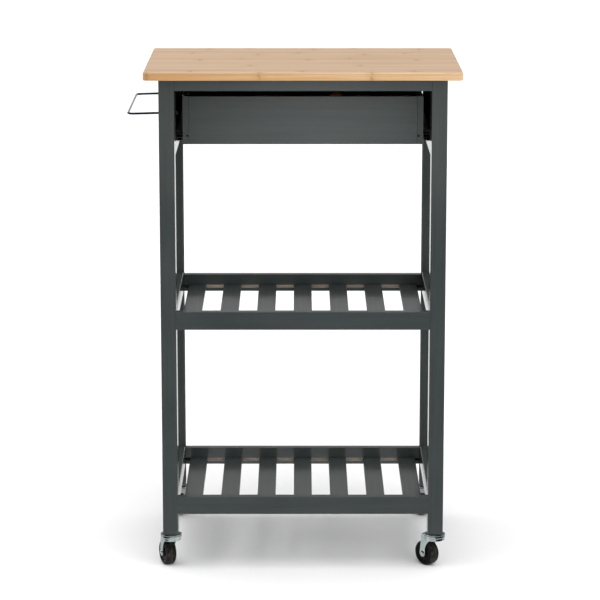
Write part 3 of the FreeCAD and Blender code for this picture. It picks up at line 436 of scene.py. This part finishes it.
def raw_wood():
    """Bare, unfinished wood inside grooves and on dowels."""
    graph = Graph("raw_wood")
    place = graph.place()
    grain = graph.grain(place, (25.0, 160.0, 700.0))
    pores = graph.noise(place, scale=900.0)
    colour = graph.ramp(grain, [(0.30, RAW_WOOD_DARK), (0.65, RAW_WOOD)])
    from_middle = graph.distance(graph.axes(place)[0], CART_MIDDLE.x)
    overspray = graph.remap(from_middle, BARE_REACH, BARE_REACH + OVERSPRAY_FADE)
    colour = graph.mix(overspray, colour, LACQUER_DEEP)
    graph.surface(Base_Color=colour, Roughness=graph.vary(pores, 0.6, 0.85))
    graph.bump(graph.math("ADD", grain, pores), strength=0.4, distance=0.0003)
    return graph.material


def plated(name, tint, polish, satin):
    """Plated metal: clear polish with a fine haze, tiny ripples and duller arrises."""
    graph = Graph(name)
    place = graph.place()
    haze = graph.noise(place, scale=130.0, detail=3.0)
    speck = graph.noise(place, scale=1500.0)
    colour = graph.ramp(haze, [(0.30, tuple(c * 0.86 for c in tint)), (0.62, tint)])
    roughness = graph.vary(haze, polish, satin)
    dulled = graph.math("MULTIPLY", graph.edge_mask(radius=0.0006), 0.06)
    roughness = graph.math("ADD", roughness, dulled)
    graph.surface(Base_Color=colour, Metallic=1.0, Roughness=roughness)
    relief = graph.total((haze, 1.0), (speck, 0.10))
    graph.bump(relief, strength=0.05, distance=0.0002, arris=PLATE_ARRIS)
    return graph.material


def black_steel():
    """Black-coated steel of the drawer slides, rubbed thinner on its edges."""
    graph = Graph("black_steel")
    drawn = graph.grain(graph.place(), (900.0, 12.0, 900.0), detail=3.0, roughness=0.5)
    rubbed = graph.math("MULTIPLY", graph.edge_mask(radius=0.0005), 0.5)
    graph.surface(Base_Color=graph.mix(rubbed, BLACK_STEEL, ZINC), Metallic=0.75)
    graph.surface(Roughness=graph.vary(drawn, 0.28, 0.45))
    graph.bump(drawn, strength=0.15, distance=0.0002)
    return graph.material


def wheel_plastic(node):
    """Moulded black wheel: dark sides and a tread scuffed by the floor."""
    graph = Graph(f"{node}_plastic")
    place = graph.place()
    low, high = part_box(node)
    apart = graph.add("ShaderNodeVectorMath", operation="DISTANCE")
    graph.feed(apart.inputs[0], place)
    graph.feed(apart.inputs[1], (low + high) / 2)
    tread = graph.remap(apart.outputs["Value"], TREAD_REACH, TREAD_REACH + TREAD_FADE)
    grain = graph.noise(place, scale=1400.0)
    scuff = graph.remap(graph.noise(place, scale=160.0, detail=4.0, roughness=0.7), 0.46, 0.80)
    lightened = graph.math("MAXIMUM", scuff, graph.edge_mask(radius=0.0014))
    colour = graph.mix(tread, WHEEL_BLACK, WHEEL_TREAD)
    colour = graph.mix(graph.math("MULTIPLY", lightened, tread), colour, WHEEL_SCUFF)
    graph.surface(Base_Color=colour, Roughness=graph.remap(scuff, 0.0, 1.0, 0.30, 0.45))
    graph.surface(Specular_IOR_Level=0.12)
    graph.bump(grain, strength=0.20, distance=0.0001)
    return graph.material


def drawer_board():
    """Thin drawer bottom: a dark, slightly mottled printed face."""
    graph = Graph("drawer_board")
    place = graph.place()
    weave = graph.noise(place, scale=400.0, detail=4.0, roughness=0.7)
    cloud = graph.noise(place, scale=12.0, detail=3.0)
    tone = graph.total((weave, 0.6), (cloud, 0.4))
    colour = graph.ramp(tone, [(0.35, BOARD_DEEP), (0.65, BOARD)])
    graph.surface(Base_Color=colour, Roughness=graph.vary(weave, 0.5, 0.68))
    graph.bump(weave, strength=0.3, distance=0.0002)
    return graph.material


def paper_label():
    """Plain round paper label with no print."""
    graph = Graph("paper_label")
    fibre = graph.noise(graph.place(), scale=700.0, detail=4.0, roughness=0.7)
    shade = tuple(c * 0.8 for c in LABEL_BROWN)
    graph.surface(Base_Color=graph.ramp(fibre, [(0.3, shade), (0.7, LABEL_BROWN)]))
    graph.surface(Roughness=graph.vary(fibre, 0.55, 0.7))
    graph.bump(fibre, strength=0.2, distance=0.0001)
    return graph.material


def floor_material():
    """Plain pale studio floor."""
    graph = Graph("studio_floor")
    mottle = graph.noise(graph.place(), scale=3.0)
    shade = tuple(c * 0.985 for c in FLOOR_WHITE)
    graph.surface(Base_Color=graph.ramp(mottle, [(0.3, shade), (0.7, FLOOR_WHITE)]))
    graph.surface(Roughness=graph.remap(mottle, 0.0, 1.0, 0.75, 0.85))
    return graph.material


def painted_reflection_shade(name, shade, glow):
    """Matt grey of a sheet seen only in reflections, a painted reflected shade, with any glow fading
    out to both sides of its middle.
    """
    graph = Graph(name)
    place = graph.place()
    sheet_shade = graph.noise(place, scale=40.0)
    colour = graph.ramp(sheet_shade, [(0.3, (shade * 0.9,) * 3), (0.7, (shade,) * 3)])
    if glow:
        # The glow is a painted pool of light on the sheet, brightest straight in front of the cart
        aside = graph.distance(graph.axes(place)[0], GLOW_MIDDLE)
        lit = graph.remap(aside, GLOW_REACH, 0.0)
        lit = graph.math("SMOOTH_MIN", lit, 1.0, GLOW_SOFTNESS)
        colour = graph.mix(lit, colour, (glow,) * 3)
    graph.surface(Base_Color=colour, Roughness=1.0, Specular_IOR_Level=0.0)
    return graph.material


def backdrop_white():
    """Even white that needs no light."""
    graph = Graph("backdrop_white")
    graph.surface(Base_Color=BLACK, Specular_IOR_Level=0.0)
    graph.surface(Emission_Color=WHITE, Emission_Strength=1.0)
    return graph.material


# ---- Finishing the CAD pieces ----

def paint(name, *materials):
    """Gives a CAD piece its finish, and after it any others that some of its faces take."""
    mesh = NODES[name].data
    mesh.materials.clear()
    for material in materials:
        mesh.materials.append(material)


def bare_grooves():
    """Leaves the wood bare inside the grooves that hold the slats."""
    for shelf in ("middle", "lower"):
        slats_low, slats_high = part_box(f"{shelf}_shelf_slats")
        for end in ("back", "front"):
            name = f"{shelf}_shelf_rail_{end}"
            rail_low, rail_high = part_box(name)
            low = (rail_low.x + GROOVE_IN, rail_low.y + GROOVE_SKIN, slats_low.z - GROOVE_SKIN)
            high = (rail_high.x - GROOVE_IN, rail_high.y - GROOVE_SKIN, slats_high.z + GROOVE_SKIN)
            for face in NODES[name].data.polygons:
                if all(a < c < b for a, c, b in zip(low, face.center, high)):
                    face.material_index = RAW_COAT


def thin_coats():
    """Marks the inner faces of aprons, side rails and legs, and the drawer front's ends."""
    for side, inward in (("left", 1), ("right", -1)):
        coats = {
            f"apron_{side}": INSIDE_COAT,
            f"middle_side_rail_{side}": INSIDE_COAT,
            f"lower_side_rail_{side}": INSIDE_COAT,
            f"leg_back_{side}": INSIDE_COAT,
            f"leg_front_{side}": MATT_COAT,
        }
        for name, coat in coats.items():
            for face in NODES[name].data.polygons:
                if face.normal.x * inward > FACING_SHARE:
                    face.material_index = coat
    for face in NODES["drawer_front"].data.polygons:
        if abs(face.normal.x) > FACING_SHARE:
            face.material_index = INSIDE_COAT


def smooth_mesh(name):
    """Smooth shading on a CAD piece, kept crisp at its sharper edges."""
    NODES[name].data.set_sharp_from_angle(angle=math.radians(SMOOTH_ANGLE))
    for face in NODES[name].data.polygons:
        face.use_smooth = True


def finish_cad_pieces():
    """Puts a finish on every CAD piece."""
    # The casters' chrome carries a painted teal reflection and painted shade
    caster_chrome_painted_teal = plated("chrome_caster", CASTER_CHROME_PAINTED_TEAL, polish=0.04, satin=0.10)
    # The towel rail's dark chrome tint is painted shade
    rail_chrome_painted_dark = plated("chrome_rail_painted_dark", RAIL_CHROME_PAINTED_DARK, polish=0.03, satin=0.07)
    across = lacquer("lacquer_across", GRAIN_ACROSS)
    upright = lacquer("lacquer_upright", GRAIN_UPRIGHT)
    lengthwise = lacquer("lacquer_lengthwise", GRAIN_LENGTHWISE)
    slat_coat = lacquer("lacquer_slats", GRAIN_LENGTHWISE, SLAT_HAZE)
    raw, inside, matt = raw_wood(), inside_lacquer(), matt_lacquer()
    finishes = {
        "bamboo": bamboo(),
        "drawer_panel": drawer_board(),
        "raw_wood": raw,
        "chrome": plated("chrome_bright", CHROME, polish=0.03, satin=0.07),
        "zinc_steel": plated("zinc_satin", ZINC, polish=0.28, satin=0.42),
        "slide_steel": black_steel(),
    }
    for part in frame["record"]["subparts"]:
        name, slot = part["node"], part["material_slot"]
        if slot == "grey_lacquer":
            if name.startswith("leg_"):
                coat = upright
            elif "slats" in name:
                coat = slat_coat
            elif "side" in name or name.startswith("apron"):
                coat = lengthwise
            else:
                coat = across
            paint(name, coat, raw, inside, matt)
        elif name == "towel_rail":
            paint(name, rail_chrome_painted_dark)
        elif name.startswith("caster_wheel"):
            paint(name, wheel_plastic(name))
        elif name.startswith("caster_") and slot == "chrome":
            paint(name, caster_chrome_painted_teal)
        else:
            paint(name, finishes[slot])
        smooth_mesh(name)
    bare_grooves()
    thin_coats()


# ---- Pieces drawn here ----

def new_object(name, data):
    """An object with the given mesh, light or camera, added to the scene."""
    made = bpy.data.objects.new(name, data)
    bpy.context.scene.collection.objects.link(made)
    return made


def round_label():
    """The blank paper label stuck on the inner face of the drawer front."""
    rounding = LABEL_THICKNESS / 2
    rings = [
        (LABEL_RADIUS, 0.0), (LABEL_RADIUS, rounding),
        (LABEL_RADIUS - rounding, LABEL_THICKNESS), (LABEL_RADIUS * LABEL_FLAT, LABEL_THICKNESS),
    ]
    inner_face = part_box("drawer_front")[0].y
    middle = Vector((CART_MIDDLE.x + LABEL_ASIDE, inner_face, LABEL_HEIGHT))
    points = []
    for radius, lift in rings:
        for step in range(LABEL_STEPS):
            turn = 2 * math.pi * step / LABEL_STEPS
            points.append(middle + Vector((radius * math.cos(turn), -lift, radius * math.sin(turn))))
    points += [middle - Vector((0, LABEL_THICKNESS, 0)), middle]
    front_point, back_point = len(points) - 2, len(points) - 1
    last_ring = (len(rings) - 1) * LABEL_STEPS
    steps = [(step, (step + 1) % LABEL_STEPS) for step in range(LABEL_STEPS)]
    faces = []
    for start in range(0, last_ring, LABEL_STEPS):
        end = start + LABEL_STEPS
        faces += [(start + step, start + after, end + after, end + step) for step, after in steps]
    for step, after in steps:
        faces.append((last_ring + step, last_ring + after, front_point))
        faces.append((after, step, back_point))
    mesh = bpy.data.meshes.new("drawer_label")
    mesh.from_pydata(points, [], faces)
    work = bmesh.new()
    work.from_mesh(mesh)
    bmesh.ops.recalc_face_normals(work, faces=work.faces)
    work.to_mesh(mesh)
    work.free()
    mesh.materials.append(paper_label())
    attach(new_object("drawer_label", mesh), "drawer")


# ---- Room ----

def wide_sun(name, direction, spread, power):
    """A broad, even light from far away."""
    data = bpy.data.lights.new(name, "SUN")
    data.energy = power
    data.angle = math.radians(spread)
    lamp = new_object(name, data)
    lamp.location = Vector(direction) * SUN_DISTANCE
    lamp.rotation_euler = (-lamp.location).to_track_quat("-Z", "Y").to_euler()


def lights():
    """White surroundings, an overhead light and a key light from the camera's side."""
    world = bpy.data.worlds.new("white_room")
    bpy.context.scene.world = world
    world.use_nodes = True
    background = world.node_tree.nodes["Background"]
    background.inputs["Color"].default_value = (*WHITE, 1.0)
    background.inputs["Strength"].default_value = WORLD_LIGHT
    wide_sun("overhead_light", OVERHEAD_FROM, OVERHEAD_SPREAD, OVERHEAD_LIGHT)
    wide_sun("key_light", KEY_FROM, KEY_SPREAD, KEY_LIGHT)


def stage_strip(name, inner, outer, steps, material, seen_by, spread=180.0, middle=180.0):
    """A strip that bends round the cart, shown to one kind of ray only.

    inner and outer are (radius, height) of its two long edges, and spread and middle say
    how far round it goes to each side and where its middle is, counted from +X.
    """
    corners = []
    for step in range(steps + 1):
        angle = math.radians(middle + spread * (2 * step / steps - 1))
        for radius, height in (inner, outer):
            corners.append((radius * math.cos(angle), radius * math.sin(angle), height))
    faces = [(i, i + 1, i + 3, i + 2) for i in range(0, 2 * steps, 2)]
    mesh = bpy.data.meshes.new(name)
    mesh.from_pydata(corners, [], faces)
    mesh.materials.append(material)
    strip = new_object(name, mesh)
    for ray in ("camera", "diffuse", "glossy", "transmission", "shadow"):
        setattr(strip, f"visible_{ray}", ray == seen_by)


def reflection_card(name, shade, inner, outer, spread, middle, glow=None):
    """A grey sheet that only shows in reflections.

    A glow is the lighter shade, a painted pool of light, that it takes straight in front of the
    cart.
    """
    sheet_shade = painted_reflection_shade(name, shade, glow)
    stage_strip(name, inner, outer, CARD_STEPS, sheet_shade, "glossy", spread, middle)


def reflection_cards():
    """The shaded parts of the studio, on the camera's side and high up behind the cart."""
    near_middle, far_middle = -90.0, 90.0
    foot, near, far, rim = [
        (radius, CARD_LIFT) for radius in (FOOT_RADIUS, NEAR_RADIUS, FAR_RADIUS, CARD_RADIUS)
    ]
    wall_foot, band_foot, band_top, wall_top, ceiling_rim = [
        (CARD_RADIUS, height) for height in (0.0, BAND_LOW, BAND_HIGH, WALL_HIGH, CEILING_HEIGHT)
    ]
    ceiling_edge = (CEILING_RADIUS, CEILING_HEIGHT)
    reflection_card("foot_floor_card", 0.62, foot, near, FLOOR_SPREAD, near_middle)
    reflection_card("near_floor_card", 0.012, near, far, FLOOR_SPREAD, near_middle)
    reflection_card("far_floor_card", 0.18, far, rim, FLOOR_SPREAD, near_middle, GLOW_SHADE)
    reflection_card("camera_wall_card", 0.020, wall_foot, ceiling_rim, NEAR_SPREAD, near_middle)
    reflection_card("ceiling_card", 0.030, ceiling_edge, ceiling_rim, NEAR_SPREAD, near_middle)
    reflection_card("mid_wall_card", 0.24, band_foot, band_top, FAR_SPREAD, far_middle)
    reflection_card("high_wall_card", 0.12, band_top, wall_top, FAR_SPREAD, far_middle)


def floor():
    """A wide level floor."""
    bpy.ops.mesh.primitive_plane_add(size=FLOOR_SIZE, location=(0, 0, 0))
    plane = bpy.context.object
    plane.name = "floor"
    plane.data.materials.append(floor_material())


def backdrop():
    """A white wall far round the cart, so that low views have no horizon."""
    foot, top = (BACKDROP_RADIUS, BACKDROP_LOW), (BACKDROP_RADIUS, BACKDROP_HIGH)
    stage_strip("backdrop", foot, top, BACKDROP_STEPS, backdrop_white(), "camera")


def camera():
    """Camera behind the cart and above its worktop, looking slightly down."""
    data = bpy.data.cameras.new("camera")
    data.lens = CAMERA_LENS
    data.sensor_width = SENSOR_WIDTH
    data.clip_end = CAMERA_REACH
    eye = new_object("camera", data)
    eye.location = (CART_MIDDLE.x + CAMERA_SIDE, CART_MIDDLE.y - CAMERA_DISTANCE, CAMERA_HEIGHT)
    eye.rotation_euler = (math.radians(90 - CAMERA_PITCH), 0.0, math.radians(CAMERA_YAW))
    bpy.context.scene.camera = eye


bpy.context.scene.view_settings.view_transform = "Standard"
camera()
lights()
floor()
backdrop()
reflection_cards()
finish_cad_pieces()
round_label()
